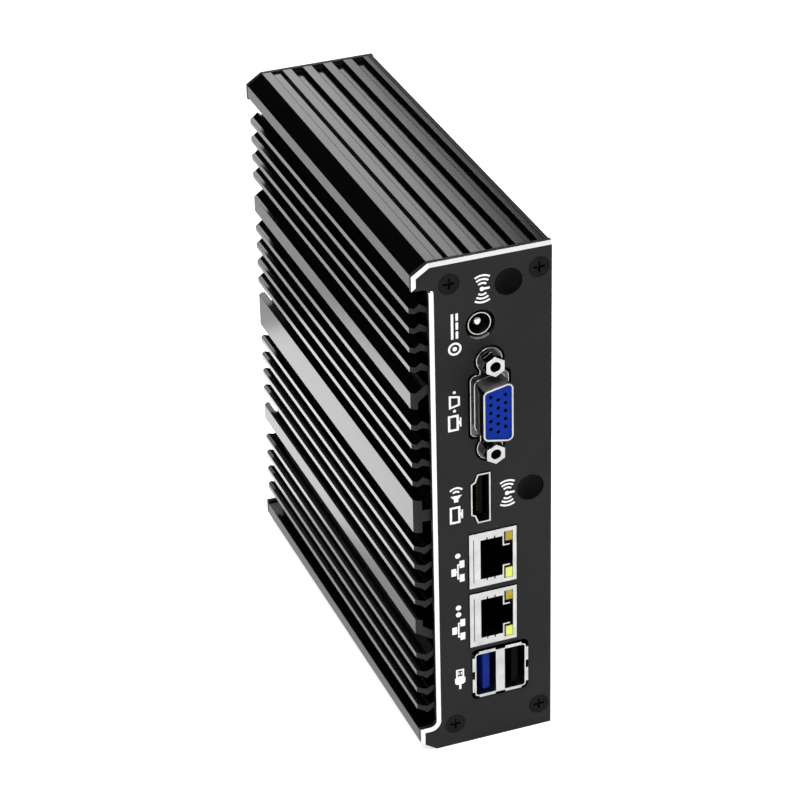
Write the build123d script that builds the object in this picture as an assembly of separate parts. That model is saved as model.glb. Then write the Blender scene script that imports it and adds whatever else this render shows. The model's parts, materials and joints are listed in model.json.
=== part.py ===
"""Fanless mini PC: a finned aluminium housing closed by two end plates and a bottom cover.

The case stands on its narrow side. Sizes are millimetres. While building, x runs from the
fin tips to the bottom cover, y from the connector face to the front face and z upward.
On export every piece is moved so that the origin is under the middle of the whole footprint.
"""

import os
from itertools import product

from build123d import *

# Case
WIDTH = 37.0
DEPTH = 127.0
HEIGHT = 144.0
MIDDLE = HEIGHT / 2
CORNER_X = 4.33
CORNER_Z = 2.87
PLATE = 1.6
COVER = 1.5
WALL = 4.2
COVER_X = WIDTH - COVER

# Heatsink fins
FIN_ROOT = 6.8
BASE_INNER = 9.4
BAND = 6.4
FIN_TIP = 0.7
FIN_PITCH = 5.45
INNER_FINS_FROM = 9.65
MEDIUM_BAND_AT = 33.6
OUTER_FINS_FROM = 42.55
FIN_END_CHAMFER = 1.0

# Grooves along the two narrow sides
GROOVES = 5
GROOVE_START = 7.0
GROOVE_PITCH = 5.93
GROOVE_WIDTH = 3.18
GROOVE_DEPTH = 1.4

# End plates
STEP_IN = 4.55
LUG = 7.0
NOTCH_RADIUS = 1.8
BEVEL_WIDE = 1.1
BEVEL_DEEP = 0.37

# Screws
M3_HOLE = 1.25
M3_SHANK = 1.2
M3_CLEARANCE = 1.6
HEAD_RADIUS = 2.8
HEAD_DEEP = 1.3
END_SCREW_X = (9.7, 33.6)
END_SCREW_Z = (6.6, HEIGHT - 6.6)
END_SCREW_LONG = 8.0
COVER_SCREW_Y = (13.5, DEPTH - 13.5)
COVER_SCREW_LONG = 5.5

# Bracket nuts of the bottom cover
NUT_Y = (DEPTH / 2 - 37.5, DEPTH / 2 + 37.5)
NUT_Z = (MIDDLE - 37.5, MIDDLE + 37.5)
NUT_BARREL = 2.7
NUT_BORE = 1.65

# Main board, with the sockets on its cover side and the processor on its fin side
BOARD_BACK = 12.5
BOARD_FACE = 14.1
BOARD_Y = (3.0, 122.0)
BOARD_Z = (11.0, 133.0)
BOARD_HOLE_Y = (27.0, 118.0)
BOARD_HOLE_Z = (15.0, 129.0)
PROCESSOR_AT = (70.0, 74.0)

# Connector centres (x, z) on the connector face
DC_AT = (17.8, 124.7)
VGA_AT = (20.15, 101.7)
HDMI_AT = (17.45, 74.7)
LAN_AT = ((20.65, 56.15), (20.65, 38.0))
USB_AT = (22.5, 20.75)
ANTENNA_AT = ((25.4, 135.0), (31.2, 74.7))

# Connector sizes
VGA_SCREW_HALF = 12.495
VGA_PIN_PITCH = 2.29
VGA_ROW_PITCH = 1.98
VGA_SHELL_OUT = 5.9
LAN_SIZE = (13.1, 16.35)
USB_SHELL = (14.4, 13.4)
USB3_TONGUE = (17.9, 19.85)
USB2_TONGUE = (26.1, 27.9)
ANTENNA_RADIUS = 3.7

# Rubber feet
FOOT_HIGH = 2.5

# Front face
BUTTON_AT = (19.0, 108.0)
BUTTON_OUT = 0.9
BUTTON_RADIUS = 4.5
SWITCH_FRONT = DEPTH - 5.8
PLUNGER_FRONT = DEPTH - 4.8
LIGHT_AT = ((19.0, 92.0), (19.0, 84.0))
FRONT_USB_AT = ((17.0, 58.0), (17.0, 36.0))

# Memory module and its latches
MEMORY_MIDDLE = 92.0
MEMORY_Y = (38.0, 68.0)
MEMORY_X = (17.6, 18.6)
MEMORY_HALF = 33.8
LATCH_PIVOT_Y = 43.0
LATCH_PIVOT_OUT = 35.3
LATCH_TIP = 61.0
LATCH_X = (BOARD_FACE + 0.45, MEMORY_X[1] + 0.9)

# Storage and wireless cards: their boards, and the (y, z) of their screws
STORAGE_Y = (40.0, 90.9)
STORAGE_MIDDLE = 30.0
WIRELESS_Y = (80.0, 106.8)
WIRELESS_MIDDLE = 76.0
CARD_X = (18.0, 19.0)
CARD_HALF = 15.0
CARD_SCREW_OUT = 12.1
CARD_SCREWS = [
    (end - 2.0, middle + side * CARD_SCREW_OUT)
    for end, middle in ((STORAGE_Y[1], STORAGE_MIDDLE), (WIRELESS_Y[1], WIRELESS_MIDDLE))
    for side in (-1, 1)
]

BATTERY_AT = (97.0, 118.0)

# Gap on the radius between pieces that slide or turn on each other
RUN_GAP = 0.05

# Middle of the whole footprint, from fin tips to feet and from display socket to power button
ORIGIN = ((WIDTH + FOOT_HIGH) / 2, (DEPTH + BUTTON_OUT - VGA_SHELL_OUT) / 2)


def block(x, y, z):
    """Block between two limits on each axis."""
    size = Box(x[1] - x[0], y[1] - y[0], z[1] - z[0])
    return Pos(sum(x) / 2, sum(y) / 2, sum(z) / 2) * size


def rod_x(at, radius, x):
    """Round bar along x, at (y, z)."""
    return Pos(sum(x) / 2, at[0], at[1]) * Rot(0, 90, 0) * Cylinder(radius, x[1] - x[0])


def rod_y(at, radius, y):
    """Round bar along y, at (x, z)."""
    return Pos(at[0], sum(y) / 2, at[1]) * Rot(90, 0, 0) * Cylinder(radius, y[1] - y[0])


def cone_y(at, radii, y):
    """Cone along y, at (x, z), with the first radius at the first limit."""
    return Pos(at[0], sum(y) / 2, at[1]) * Rot(90, 0, 0) * Cone(radii[1], radii[0], y[1] - y[0])


def cone_x(at, radii, x):
    """Cone along x, at (y, z), with the first radius at the first limit."""
    return Pos(sum(x) / 2, at[0], at[1]) * Rot(0, 90, 0) * Cone(radii[0], radii[1], x[1] - x[0])


def prism(section, y):
    """Section in (x, z) drawn out along y."""
    return extrude(Plane.XZ.offset(-y[0]) * section, amount=y[1] - y[0], dir=(0, 1, 0))


def outline(*points):
    """Closed straight-sided section."""
    return Polygon(*points, align=None)


def slab(x, z):
    """Rectangular section between two limits on each axis."""
    return outline((x[0], z[0]), (x[0], z[1]), (x[1], z[1]), (x[1], z[0]))


def panel_hole(at, size, radius):
    """Rounded rectangle in (x, z)."""
    return Pos(*at) * RectangleRounded(size[0], size[1], radius)


def hexagon(at, across):
    """Hexagon with two flats upright, in (x, z)."""
    return Pos(*at) * RegularPolygon(across / 2, 6, major_radius=False, rotation=30)


def around(centre, half):
    """Two limits, equally far on either side of a centre."""
    return (centre - half, centre + half)


def cross_x(at, half, x):
    """Cross-shaped driver recess along x, at (y, z)."""
    wide = block(x, around(at[0], half), around(at[1], 0.3))
    return wide + block(x, around(at[0], 0.3), around(at[1], half))


def cross_y(at, half, y):
    """Cross-shaped driver recess along y, at (x, z)."""
    wide = block(around(at[0], half), y, around(at[1], 0.3))
    return wide + block(around(at[0], 0.3), y, around(at[1], half))


def both_halves(section):
    """A section and its mirror image about mid height."""
    flipped = Pos(0, HEIGHT) * mirror(section, about=Plane.XZ)
    return section + flipped


# ---------------------------------------------------------------- case
def thin_fin(centre):
    """Wavy fin of the upper half, thickest at its bend; its tip stands at the given height."""
    root = FIN_ROOT + 0.3
    return outline(
        (0, centre + FIN_TIP), (1.1, centre + FIN_TIP), (2.5, centre + 1.85),
        (4.9, centre + 0.25), (root, centre + 0.25), (root, centre - 1.15), (4.9, centre - 1.15),
        (2.6, centre - 0.22), (1.1, centre - FIN_TIP), (0, centre - FIN_TIP),
    )


def medium_band():
    """Narrow flat band carried by a sloping arm."""
    z = MIDDLE + MEDIUM_BAND_AT
    half = 2.22
    root = FIN_ROOT + 0.3
    plate = slab((0, 1.65), around(z, half))
    arm = outline(
        (0.9, z + half), (3.9, z + 4.2), (root, z + 4.2),
        (root, z + 1.5), (4.0, z + 1.5), (1.6, z - 0.28), (0.9, z - 0.28),
    )
    return plate + arm


def housing_section():
    """Finned base with two grooved side walls and four screw channels."""
    top = HEIGHT
    side = outline(
        (0, top - BAND), (0, top - CORNER_Z), (CORNER_X, top), (COVER_X, top),
        (COVER_X, top - WALL), (BASE_INNER, top - WALL), (BASE_INNER, top - BAND),
    )
    boss = END_SCREW_Z[1] - 3.2
    for x in END_SCREW_X:
        left = x - 3.0
        right = min(x + 3.3, COVER_X)
        side += slab((left, right), (boss, top - 3.0))
    for index in range(GROOVES):
        left = GROOVE_START + index * GROOVE_PITCH
        side -= slab((left, left + GROOVE_WIDTH), (top - GROOVE_DEPTH, top + 1))
    for first in (INNER_FINS_FROM, OUTER_FINS_FROM):
        for index in range(4):
            side += thin_fin(MIDDLE + first + index * FIN_PITCH)
    side += medium_band()
    section = both_halves(side)
    section += slab((FIN_ROOT, BASE_INNER), (0.5, top - 0.5))
    section += slab((0, 2.1), around(MIDDLE, 4.75))
    section += slab((2.0, FIN_ROOT + 0.2), around(MIDDLE, 1.7))
    return section


def heatsink_housing():
    ends = (PLATE, DEPTH - PLATE)
    body = prism(housing_section(), ends)
    # The fin ends are trimmed at 45 degrees between the two lugs of each end plate.
    for y, inward in ((ends[0], 1), (ends[1], -1)):
        wedge = extrude(
            make_face(Polyline(
                (-0.01, y - inward * 0.01, LUG),
                (FIN_END_CHAMFER, y - inward * 0.01, LUG),
                (-0.01, y + inward * FIN_END_CHAMFER, LUG),
                close=True,
            )),
            amount=HEIGHT - 2 * LUG, dir=(0, 0, 1),
        )
        body -= wedge
    for x, z in product(END_SCREW_X, END_SCREW_Z):
        body -= rod_y((x, z), M3_HOLE, (ends[0] - 1, ends[0] + 10))
        body -= rod_y((x, z), M3_HOLE, (ends[1] - 10, ends[1] + 1))
    for y, z in product(COVER_SCREW_Y, END_SCREW_Z):
        body -= rod_x((y, z), M3_HOLE, (COVER_X - 6, COVER_X + 1))
    return body


def bottom_cover():
    cover = block((COVER_X, WIDTH), (PLATE, DEPTH - PLATE), (0, HEIGHT))
    outer = cover.faces().sort_by(Axis.X)[-1]
    long_edges = [edge for edge in outer.edges() if edge.length > HEIGHT * 0.6]
    cover = chamfer([edge for edge in long_edges if abs(edge.center().Z - MIDDLE) > 10], 0.4)
    for y, z in product(COVER_SCREW_Y, END_SCREW_Z):
        cover -= rod_x((y, z), M3_CLEARANCE, (COVER_X - 1, WIDTH + 1))
        cover -= cone_x((y, z), (M3_CLEARANCE, HEAD_RADIUS + 0.1), (WIDTH - HEAD_DEEP, WIDTH + 0.01))
    for y, z in product(NUT_Y, NUT_Z):
        cover -= rod_x((y, z), NUT_BARREL, (COVER_X - 1, WIDTH + 1))
    return cover


def bracket_nuts():
    """Press-in M4 nuts, flush with the outside of the cover."""
    group = []
    for y, z in product(NUT_Y, NUT_Z):
        nut = rod_x((y, z), NUT_BARREL, (COVER_X, WIDTH))
        nut += rod_x((y, z), 3.9, (COVER_X - 2, COVER_X))
        group.append(nut - rod_x((y, z), NUT_BORE, (COVER_X - 3, WIDTH + 1)))
    return Compound(group)


def plate_outline():
    """End plate: full height on the cover side, stepped in along the fins."""
    half = outline(
        (WIDTH, MIDDLE), (WIDTH, HEIGHT), (CORNER_X, HEIGHT), (0, HEIGHT - CORNER_Z),
        (0, HEIGHT - LUG), (STEP_IN, HEIGHT - LUG), (STEP_IN, MIDDLE),
    )
    plate = both_halves(half)
    notches = [v for v in plate.vertices() if abs(v.X - STEP_IN) < 0.01 and abs(v.Y - MIDDLE) > 50]
    return fillet(notches, NOTCH_RADIUS)


def bevelled_plate(y, outward):
    """End plate with a bright-cut bevel along its top and its fin side."""
    face_y = y[0] if outward < 0 else y[1]
    plate = prism(plate_outline(), y)
    front = plate.faces().filter_by(lambda f: abs(f.center().Y - face_y) < 0.001)[0]
    cut = [e for e in front.edges() if e.center().X < WIDTH - 0.5 and e.center().Z > CORNER_Z]
    return chamfer(cut, BEVEL_WIDE, BEVEL_DEEP, reference=front)


def screw_seats(face_y, inward):
    """Countersunk holes for the four screws of an end plate."""
    cutters = []
    for x, z in product(END_SCREW_X, END_SCREW_Z):
        deep = face_y + inward * HEAD_DEEP
        ends = sorted((face_y - inward * 0.01, deep))
        radii = (HEAD_RADIUS + 0.1, M3_CLEARANCE)
        cutters.append(cone_y((x, z), radii if inward > 0 else radii[::-1], ends))
        cutters.append(rod_y((x, z), M3_CLEARANCE, sorted((face_y - inward, face_y + inward * 3))))
    return cutters


def vga_flange_section(grow):
    """Flange round the D-shaped shell, with an ear at each jackscrew."""
    section = panel_hole(VGA_AT, (10.4 + 2 * grow, 17.6 + 2 * grow), 1.6)
    for side in (-1, 1):
        section += Pos(VGA_AT[0], VGA_AT[1] + side * VGA_SCREW_HALF) * Circle(3.5 + grow)
        section += Pos(VGA_AT[0], VGA_AT[1] + side * 9.5) * Rectangle(5.2 + 2 * grow, 4)
    return section


def hdmi_section(grow):
    """Outline of an HDMI-size receptacle, stepped in toward the fins."""
    x, z = HDMI_AT
    edge = ((2.7, 7.28), (-0.87, 7.28), (-1.7, 5.1), (-2.7, 4.6))
    upper = [(x + across, z + up) for across, up in edge]
    lower = [(x + across, z - up) for across, up in reversed(edge)]
    section = outline(*upper, *lower)
    return offset(section, grow) if grow else section


def io_panel():
    panel = bevelled_plate((0, PLATE), -1)
    holes = Pos(*DC_AT) * Circle(4.0)
    holes += vga_flange_section(0.6)
    holes += hdmi_section(0.25)
    holes += panel_hole(USB_AT, (16.1, 15.7), 1.6)
    for at in LAN_AT:
        holes += Pos(*at) * Rectangle(LAN_SIZE[0] + 0.5, LAN_SIZE[1] + 0.5)
    for at in ANTENNA_AT:
        holes += Pos(*at) * Circle(ANTENNA_RADIUS)
    panel -= prism(holes, (-1, PLATE + 1))
    for cutter in screw_seats(0, 1):
        panel -= cutter
    return panel


def front_panel():
    panel = bevelled_plate((DEPTH - PLATE, DEPTH), 1)
    holes = Pos(*BUTTON_AT) * Circle(BUTTON_RADIUS + RUN_GAP)
    for at in LIGHT_AT:
        holes += Pos(*at) * Circle(1.5)
    for at in FRONT_USB_AT:
        holes += panel_hole(at, (6.6, 14.4), 0.5)
    panel -= prism(holes, (DEPTH - PLATE - 1, DEPTH + 1))
    for cutter in screw_seats(DEPTH, -1):
        panel -= cutter
    return panel


def end_screws(face_y, inward):
    """The four screws of one end plate."""
    group = []
    for x, z in product(END_SCREW_X, END_SCREW_Z):
        flat = face_y + inward * 0.05
        under = face_y + inward * HEAD_DEEP
        radii = (HEAD_RADIUS, M3_SHANK) if inward > 0 else (M3_SHANK, HEAD_RADIUS)
        screw = cone_y((x, z), radii, sorted((flat, under)))
        tip = face_y + inward * END_SCREW_LONG
        screw += rod_y((x, z), M3_SHANK, sorted((under - inward * 0.1, tip)))
        screw -= cross_y((x, z), 1.5, sorted((flat - inward, flat + inward * 0.8)))
        group.append(screw)
    return Compound(group)


def cover_screws():
    group = []
    flat = WIDTH - 0.05
    under = WIDTH - HEAD_DEEP
    for y, z in product(COVER_SCREW_Y, END_SCREW_Z):
        screw = cone_x((y, z), (M3_SHANK, HEAD_RADIUS), (under, flat))
        screw += rod_x((y, z), M3_SHANK, (WIDTH - COVER_SCREW_LONG, under + 0.1))
        screw -= cross_x((y, z), 1.5, (flat - 0.8, flat + 1))
        group.append(screw)
    return Compound(group)


def rubber_feet():
    group = []
    for y in (28.0, DEPTH - 28.0):
        for z in (16.0, HEIGHT - 16.0):
            foot = cone_x((y, z), (5.5, 4.8), (WIDTH, WIDTH + FOOT_HIGH))
            group.append(fillet(foot.edges().sort_by(Axis.X)[-1], 0.6))
    return Compound(group)


def antenna_plugs():
    """Dished plugs snapped into the unused antenna holes."""
    group = []
    for at in ANTENNA_AT:
        plug = rod_y(at, ANTENNA_RADIUS - 0.05, (0.25, PLATE + 0.05))
        plug += rod_y(at, 4.1, (PLATE + 0.05, PLATE + 1.2))
        dish = Pos(at[0], -6.2, at[1]) * Sphere(7.2)
        group.append(plug - dish)
    return Compound(group)


# ---------------------------------------------------------------- main board
def motherboard():
    board = block((BOARD_BACK, BOARD_FACE), BOARD_Y, BOARD_Z)
    for y, z in product(BOARD_HOLE_Y, BOARD_HOLE_Z):
        board -= rod_x((y, z), M3_CLEARANCE, (BOARD_BACK - 1, BOARD_FACE + 1))
    return board


def board_standoffs():
    group = []
    for y, z in product(BOARD_HOLE_Y, BOARD_HOLE_Z):
        hexagonal = RegularPolygon(2.5, 6, major_radius=False)
        post = Pos(BASE_INNER, y, z) * Rot(0, 90, 0) * extrude(hexagonal, BOARD_BACK - BASE_INNER)
        group.append(post - rod_x((y, z), M3_HOLE, (BASE_INNER - 1, BOARD_FACE)))
    return Compound(group)


def board_screws():
    group = []
    for y, z in product(BOARD_HOLE_Y, BOARD_HOLE_Z):
        screw = rod_x((y, z), 2.75, (BOARD_FACE, BOARD_FACE + 1.8))
        screw = fillet(screw.edges().sort_by(Axis.X)[-1], 0.7)
        screw += rod_x((y, z), M3_SHANK, (BASE_INNER + 0.3, BOARD_FACE + 0.1))
        screw -= cross_x((y, z), 1.4, (BOARD_FACE + 0.7, BOARD_FACE + 3))
        group.append(screw)
    return Compound(group)


def on_back(size, thick, lift=0.0):
    """Slab centred on the processor, on the fin side of the board."""
    y, z = PROCESSOR_AT
    right = BOARD_BACK - lift
    return block((right - thick, right), around(y, size[0] / 2), around(z, size[1] / 2))


def heat_spreader():
    """Aluminium block that carries the heat to the finned base."""
    return on_back((44, 52), 1.4, 1.6)


# ---------------------------------------------------------------- connectors
def dc_jack_body():
    x, z = DC_AT
    body = block((BOARD_FACE, x + 4.4), (2.6, 14.0), around(z, 4.6))
    body += rod_y(DC_AT, 3.75, (1.5, 3.0))
    return body - rod_y(DC_AT, 3.15, (0, 11.0))


def dc_jack_sleeve():
    return rod_y(DC_AT, 3.1, (0.5, 10.9)) - rod_y(DC_AT, 2.85, (0, 12))


def dc_jack_pin():
    pin = rod_y(DC_AT, 1.05, (1.6, 11.0))
    return fillet(pin.edges().sort_by(Axis.Y)[0], 0.5)


def d_section(inset):
    """D-shaped section, wide side toward the cover."""
    x, z = VGA_AT
    half_x = 4.0 - inset
    wide = 8.46 - inset * 1.2
    narrow = 7.0 - inset * 1.2
    section = outline(
        (x + half_x, z + wide), (x - half_x, z + narrow),
        (x - half_x, z - narrow), (x + half_x, z - wide),
    )
    return fillet(section.vertices(), 1.5 - inset)


def vga_shell():
    shell = prism(d_section(0), (-VGA_SHELL_OUT, 0.2)) + prism(vga_flange_section(0), (0.0, 0.9))
    shell -= prism(d_section(0.4), (-7, 2))
    for side in (-1, 1):
        shell -= rod_y((VGA_AT[0], VGA_AT[1] + side * VGA_SCREW_HALF), 1.6, (-1, 2))
    return shell


def vga_sockets():
    """Centres of the fifteen pin holes: three staggered columns of five."""
    for column in (-1, 0, 1):
        for row in range(5):
            stagger = -VGA_PIN_PITCH / 4 if column == 0 else VGA_PIN_PITCH / 4
            x = VGA_AT[0] + column * VGA_ROW_PITCH
            z = VGA_AT[1] + (row - 2) * VGA_PIN_PITCH + stagger
            yield x, z


def vga_insulator():
    body = prism(d_section(0.45), (-5.6, 1.0))
    body += block((BOARD_FACE, VGA_AT[0] + 6), (1.8, 12.0), around(VGA_AT[1], 8.6))
    body += prism(d_section(0.6), (0.9, 2.0))
    for at in vga_sockets():
        body -= rod_y(at, 0.5, (-6, -0.5))
    return body


def vga_contacts():
    group = []
    for at in vga_sockets():
        group.append(rod_y(at, 0.45, (-4.6, -0.6)) - rod_y(at, 0.25, (-5, -1.2)))
    return Compound(group)


def vga_jackscrews():
    group = []
    for side in (-1, 1):
        at = (VGA_AT[0], VGA_AT[1] + side * VGA_SCREW_HALF)
        screw = prism(hexagon(at, 4.8), (-4.1, 0.0)) + rod_y(at, 1.55, (-0.1, 6.0))
        group.append(screw - rod_y(at, 1.42, (-5, -0.4)))
    return Compound(group)


def hdmi_shell():
    x, z = HDMI_AT
    shell = prism(hdmi_section(0), (-0.2, 11.0))
    for side in (-1, 1):
        shell += block((BOARD_FACE, x - 2.0), (7.0, 8.5), around(z + side * 4.6, 0.4))
    return shell - prism(hdmi_section(-0.4), (-1, 10.4))


def hdmi_tongue():
    x, z = HDMI_AT
    back = prism(hdmi_section(-0.45), (8.6, 10.35))
    return back + block((x - 0.2, x + 1.0), (1.4, 9.0), around(z, 5.6))


def hdmi_contacts():
    group = []
    for index in range(19):
        x = HDMI_AT[0] + (1.0 if index % 2 else -0.35)
        z = HDMI_AT[1] + (index - 9) * 0.5
        group.append(block((x, x + 0.15), (1.9, 8.4), around(z, 0.16)))
    return Compound(group)


def lan_opening(at):
    """Plug opening: a wide mouth and a narrower one for the latch."""
    x, z = at
    return slab((x - 3.46, x + 2.7), around(z, 5.9)) + slab((x + 2.6, x + 5.54), around(z, 2.9))


def lan_window(at, side):
    """Gap in the steel round one lamp: a thin lip divides it from the plug opening."""
    x, z = at
    window = slab((x + 3.08, x + 5.54), sorted((z + side * 3.3, z + side * 7.1)))
    return window + slab((x + 4.66, x + 5.54), sorted((z + side * 2.8, z + side * 3.4)))


def lan_seams(at):
    """Narrow slots in the steel: relief cuts at the opening and a long seam beside it."""
    x, z = at
    seams = slab(around(x - 5.35, 0.1), around(z, 6.6))
    for offset in (-1.64, 0.5):
        seams += slab(around(x + offset, 0.18), around(z, 6.5))
    return seams


def lan_lamp(at, side, inset):
    """One indicator lamp beside the latch."""
    x, z = at
    return Pos(x + 4.52, z + side * 5.6) * Rectangle(1.95 - 2 * inset, 2.9 - 2 * inset)


def lan_shells():
    group = []
    for at in LAN_AT:
        half_x, half_z = LAN_SIZE[0] / 2, LAN_SIZE[1] / 2
        shell = block(around(at[0], half_x), (-0.25, 21.0), around(at[1], half_z))
        shell -= block(around(at[0], half_x - 0.3), (0.05, 22.0), around(at[1], half_z - 0.3))
        shell -= prism(lan_opening(at) + lan_seams(at), (-1, 1))
        for side in (-1, 1):
            shell -= prism(lan_window(at, side), (-1, 1))
        group.append(shell)
    return Compound(group)


def lan_bodies():
    """Plastic inserts that guide the plugs."""
    group = []
    for at in LAN_AT:
        half_x, half_z = LAN_SIZE[0] / 2 - 0.35, LAN_SIZE[1] / 2 - 0.35
        body = block(around(at[0], half_x), (0.1, 20.5), around(at[1], half_z))
        body -= prism(lan_opening(at), (-1, 14.0))
        for side in (-1, 1):
            body -= prism(lan_lamp(at, side, 0), (-1, 9.0))
        group.append(body)
    return Compound(group)


def lan_contacts():
    """Eight spring wires in each socket, sloping back into the plug opening."""
    group = []
    for x, z in LAN_AT:
        for index in range(8):
            centre = z + (index - 3.5) * 1.02
            wire = block((0, 0.35), (0, 6.6), (-0.18, 0.18))
            wire = Pos(x - 3.4, 5.0, centre) * Rot(0, 0, -14) * wire
            foot = block((x - 3.45, x - 3.2), (5.0, 14.0), around(centre, 0.18))
            group.append(wire + foot)
    return Compound(group)


def lan_lamps(side):
    group = [prism(lan_lamp(at, side, 0.05), (-0.15, 8.8)) for at in LAN_AT]
    return Compound(group)


def usb_stack_shell():
    """Steel shell of two stacked ports, with spring fingers that touch the panel."""
    x, z = USB_AT
    outer = panel_hole(USB_AT, USB_SHELL, 0.9)
    inner = panel_hole(USB_AT, (USB_SHELL[0] - 0.7, USB_SHELL[1] - 0.7), 0.6)
    shell = prism(outer, (-0.4, 17.0)) - prism(inner, (-1, 16.5))
    shell += block((x - 1.3, x + 1.2), (-0.4, 9.0), around(z, 6.5))
    for y in (4.0, 13.0):
        shell += block((BOARD_FACE, x - 7.1), (y, y + 2.0), around(z, 5.0))
    out = (-0.35, 0.0)
    for side, along in product((-1, 1), (-1, 1)):
        edge = x + side * USB_SHELL[0] / 2
        reach = sorted((edge - side * 0.1, edge + side * 0.7))
        shell += block(reach, out, around(z + along * 3.3, 2.1))
        edge = z + side * USB_SHELL[1] / 2
        reach = sorted((edge - side * 0.1, edge + side * 0.55))
        shell += block(around(x + along * 3.7, 2.3), out, reach)
    return shell


def usb_stack_body():
    """Plastic block behind the two ports."""
    return prism(panel_hole(USB_AT, (USB_SHELL[0] - 0.8, USB_SHELL[1] - 0.8), 0.6), (9.6, 16.4))


def usb_tongue(x):
    return block(x, (0.9, 9.6), around(USB_AT[1], 5.6))


def usb_contacts():
    group = []
    for right in (USB3_TONGUE[1], USB2_TONGUE[1]):
        for index in range(4):
            z = USB_AT[1] + (index - 1.5) * 2.3
            group.append(block((right, right + 0.12), (1.6, 9.0), around(z, 0.5)))
    return Compound(group)


def front_usb_shells():
    group = []
    for x, z in FRONT_USB_AT:
        shell = block(around(x, 2.9), (DEPTH - 15.0, DEPTH + 0.2), around(z, 6.7))
        shell -= block(around(x, 2.55), (DEPTH - 14.5, DEPTH + 1), around(z, 6.3))
        group.append(shell)
    return Compound(group)


def front_usb_tongues():
    group = []
    for x, z in FRONT_USB_AT:
        tongue = block(around(x, 2.5), (DEPTH - 14.4, DEPTH - 9.5), around(z, 6.25))
        tongue += block((x - 0.2, x + 1.6), (DEPTH - 9.6, DEPTH - 0.8), around(z, 5.6))
        group.append(tongue)
    return Compound(group)


# ---------------------------------------------------------------- power button
def power_button_cap():
    """Round key with a collar behind the plate and a stem that meets the switch."""
    cap = rod_y(BUTTON_AT, BUTTON_RADIUS, (DEPTH - PLATE - 0.1, DEPTH + BUTTON_OUT))
    cap = fillet(cap.edges().sort_by(Axis.Y)[-1], 0.4)
    cap += rod_y(BUTTON_AT, BUTTON_RADIUS + 1.0, (DEPTH - PLATE - 1.0, DEPTH - PLATE))
    return cap + rod_y(BUTTON_AT, 1.6, (PLUNGER_FRONT, DEPTH - PLATE))


def power_switch_body():
    x, z = BUTTON_AT
    body = block((BOARD_FACE, x + 3.3), (SWITCH_FRONT - 3.6, SWITCH_FRONT), around(z, 3.3))
    return body - rod_y(BUTTON_AT, 1.75 + RUN_GAP, (SWITCH_FRONT - 1.6, SWITCH_FRONT + 1))


def power_switch_plunger():
    return rod_y(BUTTON_AT, 1.75, (SWITCH_FRONT - 1.0, PLUNGER_FRONT))


def light_pipes():
    """Clear rods that carry the board lamps to the front face."""
    group = []
    for x, z in LIGHT_AT:
        pipe = rod_y((x, z), 1.45, (DEPTH - 8.0, DEPTH + 0.3))
        pipe += rod_y((x, z), 2.0, (DEPTH - PLATE - 1.0, DEPTH - PLATE))
        group.append(fillet(pipe.edges().sort_by(Axis.Y)[-1], 0.3))
    return Compound(group)


def indicator_lamps():
    group = []
    for x, z in LIGHT_AT:
        group.append(block((BOARD_FACE, x + 1.6), (DEPTH - 10.2, DEPTH - 8.1), around(z, 1.6)))
    return Compound(group)


# ---------------------------------------------------------------- cards and board parts
def memory_socket():
    """Socket body with a pivot ear and pin for the latch at each end."""
    y = MEMORY_Y[0]
    body = block((BOARD_FACE, MEMORY_X[1] + 1.2), (y - 4.0, y + 2.5), around(MEMORY_MIDDLE, 35.3))
    slot_x = around(sum(MEMORY_X) / 2, 0.55)
    body -= block(slot_x, (y - 0.05, y + 3), around(MEMORY_MIDDLE, MEMORY_HALF + 0.1))
    for side in (-1, 1):
        z = MEMORY_MIDDLE + side * LATCH_PIVOT_OUT
        body += block((BOARD_FACE, BOARD_FACE + 0.4), (y + 2.0, LATCH_PIVOT_Y + 1.2), around(z, 1.2))
        body += rod_x((LATCH_PIVOT_Y, z), 0.5, (BOARD_FACE + 0.3, LATCH_X[1]))
    return body


def memory_latch(side):
    """Arm that swings outward to free the module; its hook lies over the module's edge."""
    pivot = (LATCH_PIVOT_Y, MEMORY_MIDDLE + side * LATCH_PIVOT_OUT)
    inner = MEMORY_MIDDLE + side * (MEMORY_HALF + 0.3)
    arm = block(LATCH_X, (LATCH_PIVOT_Y, LATCH_TIP), sorted((inner, inner + side * 1.5)))
    arm += rod_x(pivot, 1.2, LATCH_X)
    hook_x = (MEMORY_X[1] + 0.1, LATCH_X[1])
    arm += block(hook_x, (LATCH_TIP - 4, LATCH_TIP), sorted((inner - side * 1.1, inner + side * 0.5)))
    return arm - rod_x(pivot, 0.5 + RUN_GAP, (BOARD_FACE, LATCH_X[1] + 1))


def memory_board():
    return block(MEMORY_X, MEMORY_Y, around(MEMORY_MIDDLE, MEMORY_HALF))


def memory_chips():
    group = []
    for index in range(4):
        z = MEMORY_MIDDLE + (index - 1.5) * 14.5
        group.append(block((MEMORY_X[1], MEMORY_X[1] + 1.0), (49.0, 60.0), around(z, 5.2)))
    return Compound(group)


def card_socket(y, z):
    """Edge socket of a mini expansion card."""
    body = block((BOARD_FACE, CARD_X[1] + 1.0), (y - 6.0, y + 2.0), around(z, CARD_HALF + 0.5))
    slot_x = around(sum(CARD_X) / 2, 0.55)
    return body - block(slot_x, (y - 0.05, y + 3), around(z, CARD_HALF + 0.05))


def card_board(y, z):
    """Mini expansion card with two half-round screw seats at its free end."""
    board = block(CARD_X, y, around(z, CARD_HALF))
    for side in (-1, 1):
        board -= rod_x((y[1] - 2.0, z + side * CARD_SCREW_OUT), 1.3, (CARD_X[0] - 1, CARD_X[1] + 1))
    return board


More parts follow.
